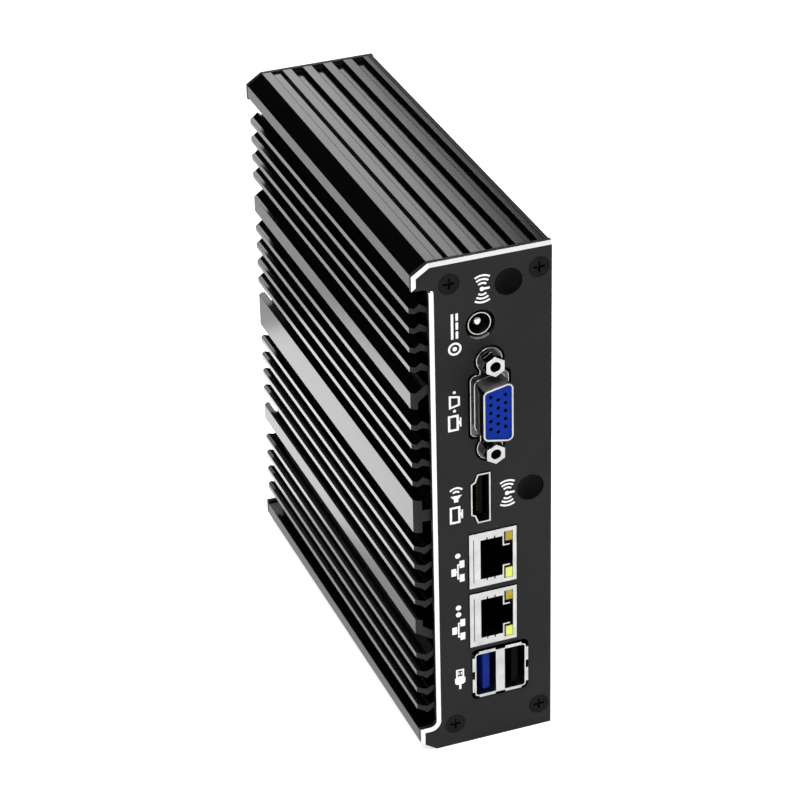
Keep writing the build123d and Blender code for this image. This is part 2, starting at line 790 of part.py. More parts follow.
def card_posts():
    """Threaded posts under the free ends of both cards."""
    group = []
    for y, z in CARD_SCREWS:
        post = rod_x((y, z), 2.2, (BOARD_FACE, CARD_X[0]))
        group.append(post - rod_x((y, z), 1.0, (BOARD_FACE + 0.5, CARD_X[0] + 1)))
    return Compound(group)


def card_screws():
    group = []
    for at in CARD_SCREWS:
        screw = rod_x(at, 2.2, (CARD_X[1], CARD_X[1] + 0.9))
        screw += rod_x(at, 0.95, (CARD_X[0] - 2.5, CARD_X[1] + 0.1))
        screw -= cross_x(at, 1.1, (CARD_X[1] + 0.4, CARD_X[1] + 2))
        group.append(screw)
    return Compound(group)


def storage_chips():
    x = (CARD_X[1], CARD_X[1] + 1.2)
    controller = block(x, (46.0, 58.0), around(STORAGE_MIDDLE, 6.0))
    memory = block(x, (63.0, 81.0), around(STORAGE_MIDDLE, 7.0))
    return Compound([controller, memory])


def wireless_shield():
    """Stamped can over the radio."""
    x = (CARD_X[1], CARD_X[1] + 1.4)
    can = block(x, (85.0, 99.0), around(WIRELESS_MIDDLE, 11.0))
    return fillet(can.faces().sort_by(Axis.X)[-1].edges(), 0.4)


def clock_battery():
    cell = rod_x(BATTERY_AT, 10.0, (BOARD_FACE + 1.0, BOARD_FACE + 4.2))
    return fillet(cell.edges(), 0.4)


def battery_holder():
    holder = rod_x(BATTERY_AT, 11.3, (BOARD_FACE, BOARD_FACE + 3.4))
    holder -= rod_x(BATTERY_AT, 10.1, (BOARD_FACE + 0.95, BOARD_FACE + 5))
    y, z = BATTERY_AT
    return holder - block((BOARD_FACE + 1.5, BOARD_FACE + 5), around(y, 4.0), (z - 12, z - 8))


def power_inductors():
    group = []
    for z in (66.0, 75.0, 84.0):
        coil = block((BOARD_FACE, BOARD_FACE + 3.2), (24.5, 31.5), around(z, 3.5))
        group.append(chamfer(coil.edges().filter_by(Axis.X), 0.8))
    return Compound(group)


def capacitors():
    group = []
    for z in (94.0, 102.0, 110.0):
        can = rod_x((27.5, z), 3.15, (BOARD_FACE, BOARD_FACE + 6.0))
        group.append(fillet(can.edges().sort_by(Axis.X)[-1], 0.5))
    return Compound(group)


def board_chips():
    """Network controllers, firmware memory and input/output controller."""
    places = ((28.0, 56.0, 6.0), (28.0, 40.0, 6.0), (100.0, 48.0, 5.2), (98.0, 28.0, 12.0))
    group = []
    for y, z, size in places:
        half = size / 2
        group.append(block((BOARD_FACE, BOARD_FACE + 1.0), around(y, half), around(z, half)))
    return Compound(group)


PARTS = {
    "heatsink_housing": heatsink_housing,
    "bottom_cover": bottom_cover,
    "io_panel": io_panel,
    "front_panel": front_panel,
    "io_panel_screws": lambda: end_screws(0, 1),
    "front_panel_screws": lambda: end_screws(DEPTH, -1),
    "cover_screws": cover_screws,
    "rubber_feet": rubber_feet,
    "bracket_nuts": bracket_nuts,
    "antenna_plugs": antenna_plugs,
    "motherboard": motherboard,
    "board_standoffs": board_standoffs,
    "board_screws": board_screws,
    "processor_package": lambda: on_back((25, 27), 0.9),
    "processor_die": lambda: on_back((9, 12), 0.3, 0.9),
    "thermal_pad": lambda: on_back((16, 18), 0.4, 1.2),
    "heat_spreader": heat_spreader,
    "dc_jack_body": dc_jack_body,
    "dc_jack_sleeve": dc_jack_sleeve,
    "dc_jack_pin": dc_jack_pin,
    "vga_shell": vga_shell,
    "vga_insulator": vga_insulator,
    "vga_contacts": vga_contacts,
    "vga_jackscrews": vga_jackscrews,
    "hdmi_shell": hdmi_shell,
    "hdmi_tongue": hdmi_tongue,
    "hdmi_contacts": hdmi_contacts,
    "lan_shells": lan_shells,
    "lan_bodies": lan_bodies,
    "lan_contacts": lan_contacts,
    "lan_activity_lamps": lambda: lan_lamps(1),
    "lan_link_lamps": lambda: lan_lamps(-1),
    "usb_stack_shell": usb_stack_shell,
    "usb_stack_body": usb_stack_body,
    "usb3_tongue": lambda: usb_tongue(USB3_TONGUE),
    "usb2_tongue": lambda: usb_tongue(USB2_TONGUE),
    "usb_contacts": usb_contacts,
    "front_usb_shells": front_usb_shells,
    "front_usb_tongues": front_usb_tongues,
    "power_button_cap": power_button_cap,
    "power_switch_body": power_switch_body,
    "power_switch_plunger": power_switch_plunger,
    "light_pipes": light_pipes,
    "indicator_lamps": indicator_lamps,
    "memory_socket": memory_socket,
    "memory_latch_upper": lambda: memory_latch(1),
    "memory_latch_lower": lambda: memory_latch(-1),
    "memory_board": memory_board,
    "memory_chips": memory_chips,
    "storage_socket": lambda: card_socket(STORAGE_Y[0], STORAGE_MIDDLE),
    "storage_board": lambda: card_board(STORAGE_Y, STORAGE_MIDDLE),
    "storage_chips": storage_chips,
    "wireless_socket": lambda: card_socket(WIRELESS_Y[0], WIRELESS_MIDDLE),
    "wireless_board": lambda: card_board(WIRELESS_Y, WIRELESS_MIDDLE),
    "wireless_shield": wireless_shield,
    "card_posts": card_posts,
    "card_screws": card_screws,
    "clock_battery": clock_battery,
    "battery_holder": battery_holder,
    "board_parts": lambda: Compound([power_inductors(), capacitors(), board_chips()]),
}


os.makedirs("parts", exist_ok=True)
for name, build in PARTS.items():
    piece = Pos(-ORIGIN[0], -ORIGIN[1], 0) * build()
    piece.label = name
    export_step(piece, f"parts/{name}.step")
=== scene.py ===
"""Looks of the fanless mini PC: finishes, printed symbols and a plain studio round the CAD frame.

Axes are those of the frame: -Y out of the connector face, -X out of the fins, +Z up.
"""

import json
import math

import bpy
from mathutils import Matrix, Vector


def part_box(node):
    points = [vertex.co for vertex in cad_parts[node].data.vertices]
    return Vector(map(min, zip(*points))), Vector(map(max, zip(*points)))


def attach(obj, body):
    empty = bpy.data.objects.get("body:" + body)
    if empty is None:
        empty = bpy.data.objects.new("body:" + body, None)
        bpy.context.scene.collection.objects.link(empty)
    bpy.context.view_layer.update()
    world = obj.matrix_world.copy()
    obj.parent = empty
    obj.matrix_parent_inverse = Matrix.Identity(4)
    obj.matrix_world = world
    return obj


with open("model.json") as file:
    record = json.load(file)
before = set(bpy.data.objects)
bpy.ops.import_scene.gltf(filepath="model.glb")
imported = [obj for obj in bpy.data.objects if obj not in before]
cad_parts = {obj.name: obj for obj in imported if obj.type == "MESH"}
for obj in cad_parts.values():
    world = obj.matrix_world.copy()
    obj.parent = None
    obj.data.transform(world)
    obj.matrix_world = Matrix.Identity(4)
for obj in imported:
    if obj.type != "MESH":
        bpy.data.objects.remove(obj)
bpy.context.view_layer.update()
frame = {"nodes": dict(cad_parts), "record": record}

MM = 0.001

# View: angles in degrees, lens and sensor in millimetres
CAMERA_AZIMUTH = -20.2
CAMERA_ELEVATION = 29.6
CAMERA_ROLL = -1.42
CAMERA_DISTANCE = 0.8202
CAMERA_AIM = Vector((-1.03, -0.10, 71.2)) * MM
CAMERA_LENS = 136.1
SENSOR = 36.0

WHITE = (1.0, 1.0, 1.0, 1.0)

# Nearly all noise values lie between these
MOST_NOISE = (0.3, 0.7)


def grey(value):
    """Opaque grey for a colour socket."""
    return (value, value, value, 1.0)


# ---------------------------------------------------------------- shader helpers
class Shader:
    """A node tree being built. Inputs are given as values or as sockets to join to."""

    def __init__(self, tree):
        self.tree = tree
        tree.nodes.clear()

    def node(self, kind, inputs=None, **settings):
        node = self.tree.nodes.new("ShaderNode" + kind)
        for key, value in settings.items():
            setattr(node, key, value)
        for key, value in (inputs or {}).items():
            if isinstance(value, bpy.types.NodeSocket):
                self.tree.links.new(value, node.inputs[key])
            else:
                node.inputs[key].default_value = value
        return node

    def math(self, operation, *values):
        inputs = dict(enumerate(values))
        return self.node("Math", inputs, operation=operation).outputs[0]

    def spread(self, value, source, target=(0.0, 1.0)):
        """Carries a value from one range to another, held at the ends."""
        inputs = {
            "Value": value,
            "From Min": source[0], "From Max": source[1],
            "To Min": target[0], "To Max": target[1],
        }
        return self.node("MapRange", inputs).outputs[0]

    def mix(self, factor, first, second):
        """Colour between two others; the colour sockets are the ones switched on by the data type."""
        node = self.node("Mix", data_type="RGBA")
        for key, value in {"Factor": factor, "A": first, "B": second}.items():
            socket = [s for s in node.inputs if s.name == key and s.enabled][0]
            if isinstance(value, bpy.types.NodeSocket):
                self.tree.links.new(value, socket)
            else:
                socket.default_value = value
        return [s for s in node.outputs if s.enabled][0]


class Finish(Shader):
    """A material in object coordinates, which are the frame's own metres."""

    def __init__(self, name):
        self.material = bpy.data.materials.new(name)
        self.material.use_nodes = True
        super().__init__(self.material.node_tree)
        self.place = self.node("TexCoord").outputs["Object"]

    def noise(self, grain_mm, detail=3.0, seed=0.0):
        """Noise whose grain has the given size along each axis."""
        scale = [1.0 / (size * MM) for size in grain_mm]
        inputs = {"Vector": self.place, "Scale": scale, "Location": (seed, seed, seed)}
        stretched = self.node("Mapping", inputs).outputs[0]
        return self.node("TexNoise", {"Vector": stretched, "Scale": 1.0, "Detail": detail}).outputs[0]

    def soften(self, radius_mm):
        """Normal that looks as if the edges were broken by the given radius."""
        return self.node("Bevel", {"Radius": radius_mm * MM}, samples=6).outputs[0]

    def bump(self, height, depth_mm, normal):
        inputs = {"Height": height, "Distance": depth_mm * MM, "Strength": 1.0, "Normal": normal}
        return self.node("Bump", inputs).outputs[0]

    def finish(self, **inputs):
        names = {key.replace("_", " "): value for key, value in inputs.items()}
        surface = self.node("BsdfPrincipled", names).outputs[0]
        self.node("OutputMaterial", {"Surface": surface})
        return self.material


# ---------------------------------------------------------------- finishes
def anodised(name="black_anodised", edge=0.14, ior=1.5):
    """Satin black extrusion with fine streaks along the depth."""
    f = Finish(name)
    streak = f.noise((0.25, 60.0, 0.25))
    cloud = f.noise((9.0, 25.0, 9.0), seed=3.0)
    streak_rough = f.spread(streak, MOST_NOISE, (0.15, 0.18))
    rough = f.math("ADD", streak_rough, f.spread(cloud, MOST_NOISE, (0.0, 0.03)))
    colour = f.mix(f.spread(streak, MOST_NOISE), grey(0.0003), grey(0.001))
    normal = f.bump(streak, 0.0003, f.soften(edge))
    return f.finish(Base_Color=colour, Roughness=rough, IOR=ior, Normal=normal)


def sawn_end():
    """Cut ends of the extrusion: duller, with short saw marks."""
    f = Finish("sawn_black")
    marks = f.noise((3.0, 3.0, 0.12))
    patch = f.noise((2.5, 2.5, 2.5), seed=5.0)
    colour = f.mix(f.spread(patch, MOST_NOISE), grey(0.009), grey(0.014))
    rough = f.spread(marks, MOST_NOISE, (0.42, 0.58))
    normal = f.bump(marks, 0.006, f.soften(0.1))
    return f.finish(Base_Color=colour, Roughness=rough, Specular_IOR_Level=0.25, Normal=normal)


def blasted_plate():
    """Matt black end plates and cover, finely bead blasted."""
    f = Finish("black_plate")
    grain = f.noise((0.16, 0.16, 0.16), detail=2.0)
    cloud = f.noise((14.0, 14.0, 14.0), seed=2.0)
    colour = f.mix(f.spread(cloud, MOST_NOISE), grey(0.009), grey(0.013))
    rough = f.spread(grain, MOST_NOISE, (0.44, 0.54))
    normal = f.bump(grain, 0.006, f.soften(0.12))
    return f.finish(Base_Color=colour, Roughness=rough, Specular_IOR_Level=0.22, Normal=normal)


def bright_cut():
    """Bare aluminium of the bevels, with fine cutter lines along them."""
    f = Finish("bright_cut")
    lines = f.noise((0.09, 0.09, 7.0))
    rough = f.spread(lines, MOST_NOISE, (0.16, 0.28))
    colour = f.mix(lines, (0.90, 0.90, 0.91, 1), (0.97, 0.97, 0.97, 1))
    normal = f.bump(lines, 0.0015, f.soften(0.06))
    return f.finish(Base_Color=colour, Metallic=1.0, Roughness=rough, Normal=normal)


def metal(name, dark, light, rough, grain=(0.5, 0.5, 0.5), depth=0.003, edge=0.06):
    """Plated or machined metal with a fine grain."""
    f = Finish(name)
    fine = f.noise(grain)
    stain = f.noise((4.0, 4.0, 4.0), seed=7.0)
    colour = f.mix(f.spread(stain, MOST_NOISE), (*dark, 1), (*light, 1))
    normal = f.bump(fine, depth, f.soften(edge))
    roughness = f.spread(fine, MOST_NOISE, rough)
    return f.finish(Base_Color=colour, Metallic=1.0, Roughness=roughness, Normal=normal)


def painted_shade_chrome():
    """Plating darkened as painted shade, with painted highlights along its rounded edges."""
    f = Finish("painted_shade_chrome")
    fine = f.noise((0.4, 0.4, 0.4))
    rounded = f.soften(0.42)
    true_normal = f.node("NewGeometry").outputs["True Normal"]
    both = {0: rounded, 1: true_normal}
    facing = f.node("VectorMath", both, operation="DOT_PRODUCT").outputs["Value"]
    # Painted highlight: the colour turns bright where the rounded normal leaves the true one; the dark base
    # is painted shade.
    edge = f.spread(facing, (0.99, 0.9))
    colour = f.mix(edge, grey(0.10), (0.92, 0.92, 0.90, 1))
    rough = f.spread(fine, MOST_NOISE, (0.10, 0.16))
    normal = f.bump(fine, 0.002, rounded)
    return f.finish(Base_Color=colour, Metallic=1.0, Roughness=rough, Normal=normal)


def moulded(name, dark, light, rough=(0.38, 0.5), grain=0.22, depth=0.004, edge=0.08, shine=0.3, **more):
    """Moulded plastic or rubber with a fine texture and slightly uneven colour."""
    f = Finish(name)
    fine = f.noise((grain, grain, grain))
    cloud = f.noise((3.0, 3.0, 3.0), seed=4.0)
    colour = f.mix(f.spread(cloud, MOST_NOISE), (*dark, 1), (*light, 1))
    normal = f.bump(fine, depth, f.soften(edge))
    roughness = f.spread(fine, MOST_NOISE, rough)
    return f.finish(
        Base_Color=colour, Roughness=roughness, Specular_IOR_Level=shine, Normal=normal, **more
    )


def lens(name, dark, light, glow, prisms_per_metre=2400.0):
    """Tinted indicator window with fine prisms behind its face, and a painted glow in its own tint."""
    f = Finish(name)
    cells = f.node("TexVoronoi", {"Vector": f.place, "Scale": prisms_per_metre}).outputs["Distance"]
    colour = f.mix(f.spread(cells, (0.0, 0.5)), (*light, 1), (*dark, 1))
    normal = f.bump(cells, 0.02, f.soften(0.1))
    # The emission is a painted glow of the window, not a lit lamp.
    return f.finish(
        Base_Color=colour, Roughness=0.22, Subsurface_Weight=0.25, Subsurface_Scale=0.0006,
        Emission_Color=colour, Emission_Strength=glow, Normal=normal,
    )


def circuit_board():
    """Green solder mask over copper traces, with plated holes."""
    f = Finish("board_green")
    on_board = f.node("Mapping", {"Vector": f.place, "Rotation": (0, math.pi / 2, 0)}).outputs[0]
    rows = {"Vector": on_board, "Scale": 380.0, "Mortar Size": 0.06, "Brick Width": 0.9, "Row Height": 0.25}
    traces = f.node("TexBrick", rows).outputs["Fac"]
    holes = f.node("TexVoronoi", {"Vector": f.place, "Scale": 420.0}).outputs["Distance"]
    plated = f.spread(holes, (0.09, 0.11), (1.0, 0.0))
    masked = f.mix(traces, (0.010, 0.060, 0.024, 1), (0.018, 0.105, 0.042, 1))
    colour = f.mix(plated, masked, (0.75, 0.55, 0.25, 1))
    normal = f.bump(f.math("ADD", traces, plated), 0.02, f.soften(0.05))
    return f.finish(Base_Color=colour, Metallic=plated, Roughness=0.32, Normal=normal)


# Finish of each material slot named in the record
FINISHES = {
    "black_anodised": anodised(),
    "black_plate": blasted_plate(),
    "black_steel": moulded(
        "black_steel", (0.003, 0.003, 0.003), (0.007, 0.007, 0.007),
        rough=(0.35, 0.45), grain=0.12, shine=0.1,
    ),
    "nickel_steel": metal("nickel_steel", (0.56, 0.56, 0.55), (0.70, 0.70, 0.69), (0.14, 0.24)),
    "bare_aluminium": metal(
        "bare_aluminium", (0.62, 0.62, 0.63), (0.74, 0.74, 0.75),
        rough=(0.22, 0.34), grain=(0.08, 3.0, 3.0), depth=0.004,
    ),
    "gold": metal("gold", (0.80, 0.56, 0.22), (0.92, 0.70, 0.34), (0.14, 0.24)),
    "black_plastic": moulded(
        "black_plastic", (0.0008, 0.0008, 0.0008), (0.002, 0.002, 0.002), shine=0.05
    ),
    "blue_plastic": moulded(
        "blue_plastic", (0.0015, 0.027, 0.32), (0.002, 0.034, 0.39), rough=(0.42, 0.55), shine=0.08
    ),
    "usb_blue_plastic": moulded(
        "usb_blue_plastic", (0.002, 0.019, 0.24), (0.004, 0.029, 0.33), rough=(0.3, 0.42), shine=0.1
    ),
    "cream_metal": metal("cream_metal", (0.80, 0.74, 0.66), (0.90, 0.85, 0.78), (0.24, 0.34)),
    "amber_lens": lens("amber_lens", (0.44, 0.32, 0.003), (0.62, 0.46, 0.01), 0.12),
    "green_lens": lens("green_lens", (0.66, 0.72, 0.10), (0.84, 0.90, 0.26), 0.3),
    "clear_lens": moulded(
        "clear_lens", (0.80, 0.84, 0.86), (0.88, 0.90, 0.92), rough=(0.06, 0.12), Transmission_Weight=0.85
    ),
    "lamp_white": moulded("lamp_white", (0.70, 0.70, 0.62), (0.82, 0.82, 0.76), rough=(0.25, 0.35)),
    "feet_rubber": moulded(
        "feet_rubber", (0.010, 0.010, 0.010), (0.020, 0.020, 0.020), rough=(0.7, 0.85), grain=0.3, depth=0.02
    ),
    "pad_grey": moulded(
        "pad_grey", (0.30, 0.32, 0.34), (0.40, 0.42, 0.44), rough=(0.6, 0.75), grain=0.4, depth=0.02
    ),
    "board_green": circuit_board(),
    "chip_black": moulded(
        "chip_black", (0.010, 0.010, 0.011), (0.020, 0.020, 0.021), rough=(0.5, 0.62), grain=0.1
    ),
    "silicon": metal("silicon", (0.28, 0.30, 0.34), (0.38, 0.40, 0.46), (0.04, 0.08)),
    "socket_plastic": moulded("socket_plastic", (0.020, 0.019, 0.018), (0.034, 0.032, 0.030)),
}

# Finishes that single faces of a piece get instead
BRIGHT = bright_cut()
SAWN = sawn_end()
RIBBED = anodised("rib_anodised", edge=0.3)
FIN_TIP = anodised("fin_tip", ior=2.1)
PAINTED_SHADE_CHROME = painted_shade_chrome()
# Painted lit tone: the shell's upward faces get this lighter steel, its sides the painted shade.
PAINTED_LIT_TOP = metal("painted_lit_top_steel", (0.30, 0.30, 0.30), (0.42, 0.42, 0.42), (0.38, 0.48))
# Painted highlight for the upward-facing lower wall of the power socket's hole.
PAINTED_LIT_WALL = metal("painted_lit_wall_metal", (0.82, 0.82, 0.82), (0.94, 0.94, 0.94), (0.5, 0.62))

for part in frame["record"]["subparts"]:
    mesh = frame["nodes"][part["node"]].data
    mesh.materials.clear()
    mesh.materials.append(FINISHES[part["material_slot"]])


def refinish(node, finish, chosen):
    """Gives another finish to the faces of a CAD node that the test picks out."""
    mesh = frame["nodes"][node].data
    mesh.materials.append(finish)
    for face in mesh.polygons:
        if chosen(face):
            face.material_index = len(mesh.materials) - 1


# Where the faces to refinish lie
housing_low, housing_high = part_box("heatsink_housing")
housing_middle = (housing_low + housing_high) / 2
jack_low, jack_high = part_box("dc_jack_sleeve")
jack_middle = (jack_low + jack_high) / 2
display_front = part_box("vga_shell")[0].y
screw_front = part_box("vga_jackscrews")[0].y

# Faces this near the outermost one are level with it
SKIN = 0.1 * MM

# Share of a face's normal along one axis: square to it, a shallow bevel, a 45 degree trim
SQUARE = 0.99
BEVEL = (0.93, 0.98)
TRIM = 0.6

# Flat bands between the thin fins, by distance above or below the middle of the housing
FLAT_BANDS = ((0, 5 * MM), (31 * MM, 36 * MM), (65 * MM, 75 * MM))

JACK_HOLE_RADIUS = 4.1 * MM
INSULATOR_SEEN = 5 * MM  # depth of the display insulator that can be seen from outside


def is_bevel(face):
    """Bevels along the top and the fin side; the ones that face down keep the black plate finish as painted
    shade.
    """
    # Downward bevel faces stay black: painted shade on the bright-cut bevel.
    faces_down = face.normal.z <= -0.12
    return BEVEL[0] < abs(face.normal.y) < BEVEL[1] and not faces_down


def is_fin_end(face):
    """Cut ends of the extrusion and their 45 degree trims."""
    trimmed = abs(face.normal.y) > TRIM and face.normal.x < 0
    return abs(face.normal.y) > SQUARE or trimmed


def is_rib(face):
    """Flat tops of the ribs along the two narrow sides."""
    between = housing_low.z + MM < face.center.z < housing_high.z - MM
    return abs(face.normal.z) > SQUARE and not between


def is_thin_fin(face):
    """Tips of the thin fins, between the flat bands."""
    away = abs(face.center.z - housing_middle.z)
    on_band = any(start <= away <= stop for start, stop in FLAT_BANDS)
    at_tip = face.normal.x < -SQUARE and face.center.x < housing_low.x + SKIN
    return at_tip and not on_band


def is_lit_wall(face):
    """Lower part of the wall of the power socket's hole, painted bright as if lit from above."""
    away = math.hypot(face.center.x - jack_middle.x, face.center.z - jack_middle.z)
    return away < JACK_HOLE_RADIUS and face.normal.z > 0.75


def is_behind_rim(face):
    """Everything on the display shell but its bright front rim."""
    return face.center.y > display_front + SKIN


def is_shell_top(face):
    """Upper side of the display shell, behind its rim, which gets a painted lit tone."""
    faces_up = face.normal.z > 0.6
    return faces_up and is_behind_rim(face)


def is_pin_hole(face):
    """Walls of the holes in the display insulator, and its rear; these get black plastic as painted shade.
    """
    along_depth = abs(face.normal.y) < 0.5
    return along_depth or face.center.y > display_front + INSULATOR_SEEN


def is_screw_side(face):
    """Everything on the display jackscrews but their bright front faces."""
    return face.center.y > screw_front + SKIN


refinish("io_panel", BRIGHT, is_bevel)
refinish("front_panel", BRIGHT, is_bevel)
refinish("io_panel", PAINTED_LIT_WALL, is_lit_wall)
refinish("heatsink_housing", SAWN, is_fin_end)
refinish("heatsink_housing", RIBBED, is_rib)
refinish("heatsink_housing", FIN_TIP, is_thin_fin)
# Display shell behind its rim and jackscrew sides: painted shade with painted edge highlights.
refinish("vga_shell", PAINTED_SHADE_CHROME, is_behind_rim)
refinish("vga_jackscrews", PAINTED_SHADE_CHROME, is_screw_side)
refinish("vga_shell", PAINTED_LIT_TOP, is_shell_top)
# Painted shade: the insulator's pin holes and rear are made black.
refinish("vga_insulator", FINISHES["black_plastic"], is_pin_hole)


# ---------------------------------------------------------------- printed symbols
LINE = 0.6  # width of most lines, in millimetres
INK_THICK = 0.03
INK_SUNK = 0.01  # how far the ink reaches into the plate
SAME_POINT = 4  # decimals to which corners of plates have to agree to be joined


def arc(centre, radius, start, stop, steps):
    """Points of an arc between two angles in degrees."""
    turns = [math.radians(start + (stop - start) * step / steps) for step in range(steps + 1)]
    return [(centre[0] + radius * math.cos(turn), centre[1] + radius * math.sin(turn)) for turn in turns]


class Drawing:
    """Flat symbol made of small plates; u runs along the print, v upward, in millimetres."""

    def __init__(self, name):
        self.name = name
        self.corners = {}
        self.plates = []

    def shape(self, points):
        """Plate with these corners, in either direction; plates share the corners that agree."""
        corners = [(round(u, SAME_POINT), round(v, SAME_POINT)) for u, v in points]
        plate = [self.corners.setdefault(corner, len(self.corners)) for corner in corners]
        sides = zip(corners, corners[1:] + corners[:1])
        twice_area = sum(u0 * v1 - u1 * v0 for (u0, v0), (u1, v1) in sides)
        self.plates.append(plate if twice_area > 0 else plate[::-1])

    def strip(self, first, second):
        """Row of plates between two lines of points."""
        for index in range(len(first) - 1):
            self.shape([first[index], second[index], second[index + 1], first[index + 1]])

    def outline(self, points, width):
        """Closed line of even width through the points, with mitred corners."""
        corners = [Vector(point) for point in points]
        outer, inner = [], []
        for before, corner, after in zip(corners[-1:] + corners[:-1], corners, corners[1:] + corners[:1]):
            ways = [(corner - before).normalized(), (after - corner).normalized()]
            sides = [Vector((-way.y, way.x)) for way in ways]
            mitre = (sides[0] + sides[1]) / (1 + sides[0].dot(sides[1])) * width / 2
            outer.append(corner - mitre)
            inner.append(corner + mitre)
        self.strip(outer + outer[:1], inner + inner[:1])

    def bar(self, u, v):
        """Rectangle between two values of u and two of v."""
        self.shape([(u[0], v[0]), (u[1], v[0]), (u[1], v[1]), (u[0], v[1])])

    def ring(self, centre, outer, inner, start=0.0, stop=360.0, steps=28):
        """Ring, or part of one between two angles in degrees."""
        self.strip(arc(centre, inner, start, stop, steps), arc(centre, outer, start, stop, steps))

    def disc(self, centre, radius, steps=24):
        self.shape(arc(centre, radius, 0, 360, steps)[:-1])

    def print_at(self, above_table, from_fins):
        """Prints the symbol on the connector plate, reading upward; its middle is in millimetres."""
        ink_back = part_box("io_panel")[0].y + INK_SUNK * MM
        left = housing_low.x / MM
        points = [
            ((left + from_fins - v) * MM, ink_back - lift * MM, (above_table + u) * MM)
            for lift in (0, INK_THICK) for u, v in self.corners
        ]
        count = len(self.corners)
        faces = [plate[::-1] for plate in self.plates]
        faces += [[index + count for index in plate] for plate in self.plates]
        edges = [edge for plate in self.plates for edge in zip(plate, plate[1:] + plate[:1])]
        faces += [[a, b, b + count, a + count] for a, b in edges if (b, a) not in edges]
        data = bpy.data.meshes.new(self.name)
        data.from_pydata(points, [], faces)
        data.materials.append(INK)
        piece = bpy.data.objects.new(self.name, data)
        bpy.context.scene.collection.objects.link(piece)
        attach(piece, "case")


def screen_ink():
    """White screen print, a little uneven in cover, with a faint painted glow."""
    f = Finish("white_ink")
    grain = f.noise((0.12, 0.12, 0.12))
    colour = f.mix(f.spread(grain, (0.35, 0.65)), grey(0.84), grey(0.94))
    normal = f.bump(grain, 0.006, f.soften(0.01))
    # Emission is a painted glow that keeps the print bright.
    return f.finish(
        Base_Color=colour, Roughness=0.55, Emission_Color=WHITE, Emission_Strength=0.25, Normal=normal
    )


INK = screen_ink()


def power_symbol():
    """Coaxial plug and a direct current sign."""
    d = Drawing("symbol_power")
    d.ring((-4.4, 0), 1.8, 1.25)
    d.disc((-4.4, 0), 0.6)
    d.bar((-1.6, 5.4), (0.3, 0.95))
    for index in range(3):
        left = -1.6 + index * 2.5
        d.bar((left, left + 2.0), (-0.95, -0.3))
    return d


def screen(d, middle, width, height):
    """Outline of a monitor on its foot."""
    half = width / 2
    base = -height / 2
    low = base + 1.0
    top = height / 2 - LINE / 2
    corners = [(middle - half, low), (middle + half, low), (middle + half, top), (middle - half, top)]
    d.outline(corners, LINE)
    foot_top = base + 0.45
    d.bar((middle - 1.3, middle + 1.3), (base, foot_top))
    d.bar((middle - 0.4, middle + 0.4), (foot_top, low - LINE / 2))


def display_symbol():
    """Monitor beside a D-shaped plug with its two screws."""
    d = Drawing("symbol_display")
    screen(d, -2.9, 4.0, 3.6)
    d.outline([(1.6, 1.2), (4.8, 1.2), (4.3, -1.2), (2.1, -1.2)], 0.55)
    for u in (0.55, 5.85):
        d.disc((u, 0), 0.42)
    return d


def media_symbol():
    """Monitor with sound beside it."""
    d = Drawing("symbol_media")
    screen(d, -2.9, 4.4, 3.6)
    d.shape([(0.9, -0.6), (1.8, -0.6), (2.8, -1.6), (2.8, 1.6), (1.8, 0.6), (0.9, 0.6)])
    for radius in (0.9, 1.95):
        d.ring((2.9, 0), radius + 0.5, radius, -48, 48, steps=12)
    return d


def antenna_symbol(name):
    """Mast with waves on both sides."""
    d = Drawing(name)
    head = arc((0, 0.45), 0.6, -60, 240, 20)
    d.shape(head + [(-0.3, -1.6), (0.3, -1.6)])
    for radius in (1.35, 2.4, 3.45):
        half = 46 - radius * 4
        for side in (0, 180):
            d.ring((0, 0.35), radius + 0.5, radius, side - half, side + half, steps=12)
    return d


def network_symbol(name, port):
    """Three linked boxes, then one dot for the first port and two for the second."""
    d = Drawing(name)
    d.bar((-3.4, -1.2), (0.45, 1.8))
    for left in (-5.5, -1.3):
        d.bar((left, left + 2.2), (-1.8, -0.45))
    left_leg = [(-2.5, 0.2), (-4.6, 0.2), (-4.6, -0.45), (-4.2, -0.45), (-4.2, -0.2)]
    right_leg = [(-0.4, -0.2), (-0.4, -0.45), (0.0, -0.45), (0.0, 0.2), (-2.1, 0.2)]
    d.shape([(-2.5, 0.45), *left_leg, *right_leg, (-2.1, 0.45)])
    for index in range(port):
        d.disc((2.5 + index * 2.1, 0.0), 0.75)
    return d


def plug_symbol():
    """Cable plug seen from the side."""
    d = Drawing("symbol_plug")
    d.outline([(0.6, 0.9), (0.6, -0.9), (2.8, -0.9), (2.8, 0.9)], 0.45)
    for low in (0.2, -0.5):
        d.bar((1.3, 2.2), (low, low + 0.3))
    d.shape([(-1.7, -0.9), (-1.2, -1.45), (0.375, -1.45), (0.375, 1.45), (-1.2, 1.45), (-1.7, 0.9)])
    d.bar((-3.2, -1.7), (-0.32, 0.32))
    return d


power_symbol().print_at(above_table=123.6, from_fins=11.0)
display_symbol().print_at(above_table=101.1, from_fins=10.7)
media_symbol().print_at(above_table=74.1, from_fins=10.8)
antenna_symbol("symbol_antenna_upper").print_at(above_table=134.4, from_fins=18.8)
antenna_symbol("symbol_antenna_lower").print_at(above_table=74.5, from_fins=25.2)
network_symbol("symbol_network_1", 1).print_at(above_table=56.3, from_fins=11.0)
network_symbol("symbol_network_2", 2).print_at(above_table=38.3, from_fins=11.0)
plug_symbol().print_at(above_table=20.6, from_fins=11.2)


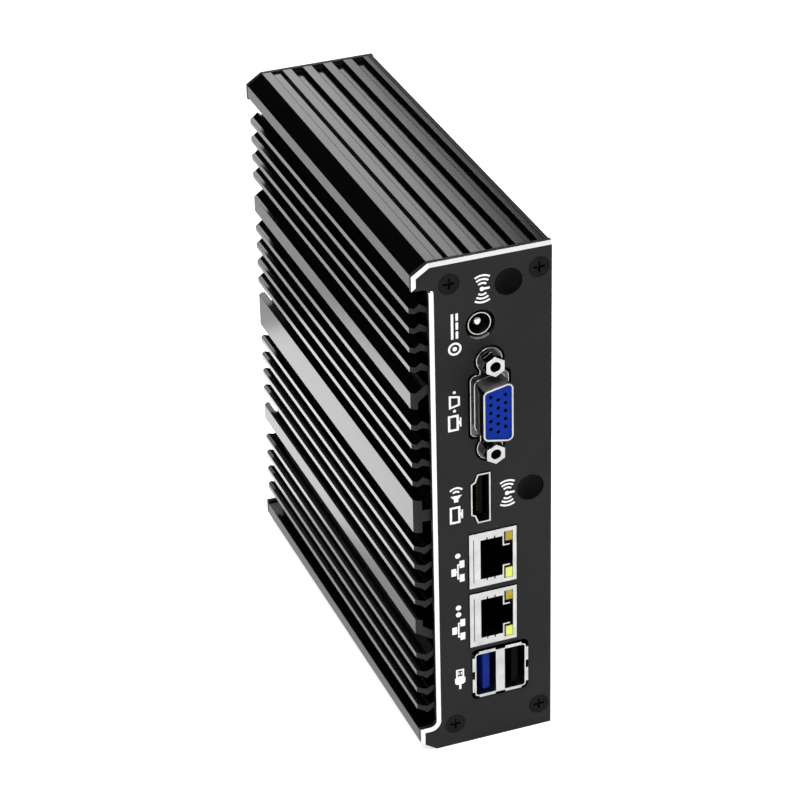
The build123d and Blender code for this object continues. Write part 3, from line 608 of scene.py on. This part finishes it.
# ---------------------------------------------------------------- studio
def pale_floor():
    """White floor whose glow grows toward the horizon and is stronger to the camera."""
    f = Finish("pale_floor")
    grain = f.noise((6.0, 6.0, 6.0), detail=5.0)
    colour = f.mix(f.spread(grain, MOST_NOISE), grey(0.60), grey(0.64))
    away = f.node("VectorMath", {0: f.place}, operation="LENGTH").outputs["Value"]
    seen = f.node("LightPath").outputs["Is Camera Ray"]
    near_glow = f.spread(seen, (0.0, 1.0), (0.45, 0.8))
    glow = f.math("MAXIMUM", near_glow, f.spread(away, (0.35, 1.2), (0.45, 1.0)))
    return f.finish(Base_Color=colour, Roughness=0.8, Emission_Color=WHITE, Emission_Strength=glow)


def add_floor(reach=4.0):
    """Plain square floor, reaching this far each way."""
    data = bpy.data.meshes.new("floor")
    corners = [(-reach, -reach, 0), (reach, -reach, 0), (reach, reach, 0), (-reach, reach, 0)]
    data.from_pydata(corners, [], [(0, 1, 2, 3)])
    data.materials.append(pale_floor())
    floor = bpy.data.objects.new("floor", data)
    bpy.context.scene.collection.objects.link(floor)


def area_light(name, place, aim, size, watts, lean=0.0):
    """Soft box that faces its aim, turned about that line by degrees; the camera doesn't see it."""
    data = bpy.data.lights.new(name, "AREA")
    data.shape = "RECTANGLE"
    data.size, data.size_y = size
    data.energy = watts
    light = bpy.data.objects.new(name, data)
    light.location = place
    facing = (Vector(aim) - Vector(place)).to_track_quat("-Z", "Y").to_matrix()
    light.rotation_euler = (facing @ Matrix.Rotation(math.radians(lean), 3, "Z")).to_euler()
    light.visible_camera = False
    bpy.context.scene.collection.objects.link(light)


def add_world():
    """White to the camera; dim elsewhere, except a pale band low in front of the connector face."""
    world = bpy.data.worlds.new("studio")
    bpy.context.scene.world = world
    world.use_nodes = True
    w = Shader(world.node_tree)
    axes = w.node("SeparateXYZ", {0: w.node("TexCoord").outputs["Generated"]}).outputs
    front = w.spread(axes[1], (-0.2, -0.6))
    low = w.spread(axes[2], (0.3, 0.1))
    glow = w.spread(w.math("MULTIPLY", front, low), (0.0, 1.0), (0.01, 1.3))
    seen = w.node("LightPath").outputs["Is Camera Ray"]
    strength = w.math("MAXIMUM", glow, seen)
    background = w.node("Background", {"Color": WHITE, "Strength": strength}).outputs[0]
    w.node("OutputWorld", {"Surface": background})


def add_camera():
    """Camera at the photograph's viewing angle."""
    turn = Matrix.Rotation(math.radians(CAMERA_AZIMUTH), 4, "Z")
    tilt = Matrix.Rotation(math.radians(90 - CAMERA_ELEVATION), 4, "X")
    roll = Matrix.Rotation(math.radians(CAMERA_ROLL), 4, "Z")
    facing = turn @ tilt @ roll
    data = bpy.data.cameras.new("camera")
    data.lens = CAMERA_LENS
    data.sensor_width = SENSOR
    data.clip_start = 0.01
    camera = bpy.data.objects.new("camera", data)
    back = facing @ Vector((0, 0, CAMERA_DISTANCE))
    camera.matrix_world = Matrix.Translation(CAMERA_AIM + back) @ facing
    bpy.context.scene.collection.objects.link(camera)
    bpy.context.scene.camera = camera


add_floor()
area_light("overhead", place=(-0.15, -0.1, 1.2), aim=(0, 0, 0), size=(1.1, 1.1), watts=22.0)
area_light(
    "rib_light", place=(0.092, 0.33, 0.30), aim=(0, 0, 0.144), size=(0.065, 0.20), watts=0.115, lean=35
)
area_light(
    "fin_light", place=(-0.07, 0.07, 0.004), aim=(-0.07, 0.07, 1.0), size=(0.08, 0.20), watts=0.07, lean=20
)
add_world()
add_camera()
bpy.context.scene.view_settings.view_transform = "Standard"
